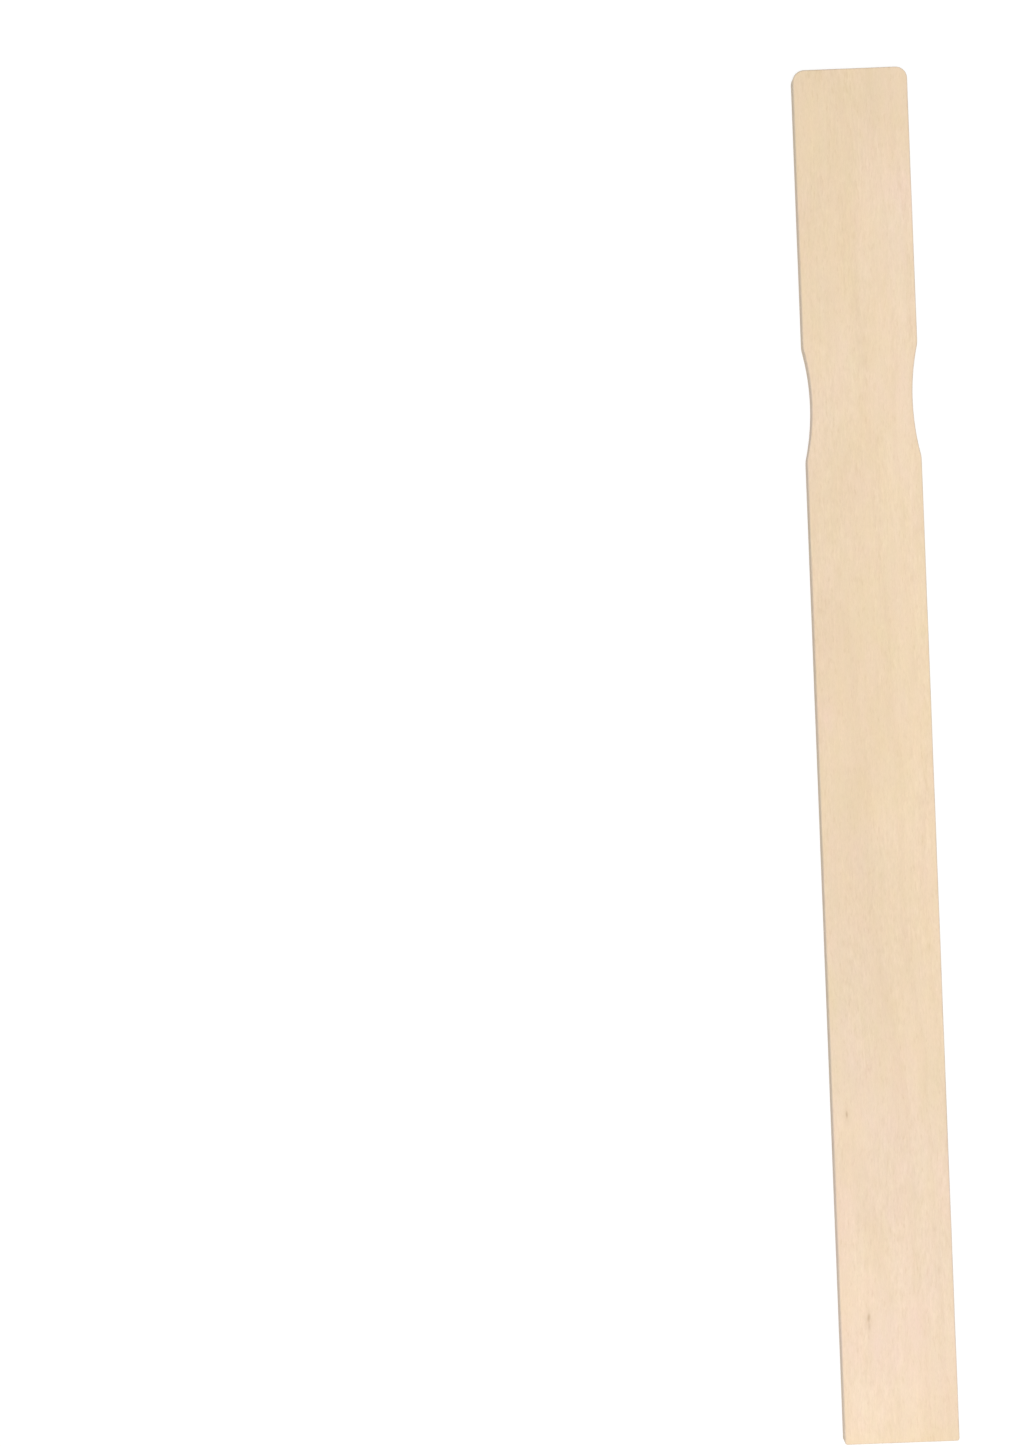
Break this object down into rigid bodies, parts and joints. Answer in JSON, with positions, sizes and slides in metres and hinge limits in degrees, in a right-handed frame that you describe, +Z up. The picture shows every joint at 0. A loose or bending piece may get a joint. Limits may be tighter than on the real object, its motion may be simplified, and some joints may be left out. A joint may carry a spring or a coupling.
{
  "type": "paint stirring stick",
  "caption": "Flat wooden paint stirring stick: a straight pale stick with a shallow waist between a round-cornered handle and a longer square-ended blade.",
  "frame": {"origin": "centre of the broad lower face, which the stick rests on", "axes": "+Y along the stick towards the end of its handle, +X across its width, +Z up through its thickness to the broad upper face"},
  "size_m": [0.0254, 0.3048, 0.003],
  "materials": {
    "wood": "bare, unvarnished pale birch, sanded matt, with fine straight grain along the stick"
  },
  "bodies": {
    "root": {"stirring_stick": "wood"}
  },
  "joints": []
}
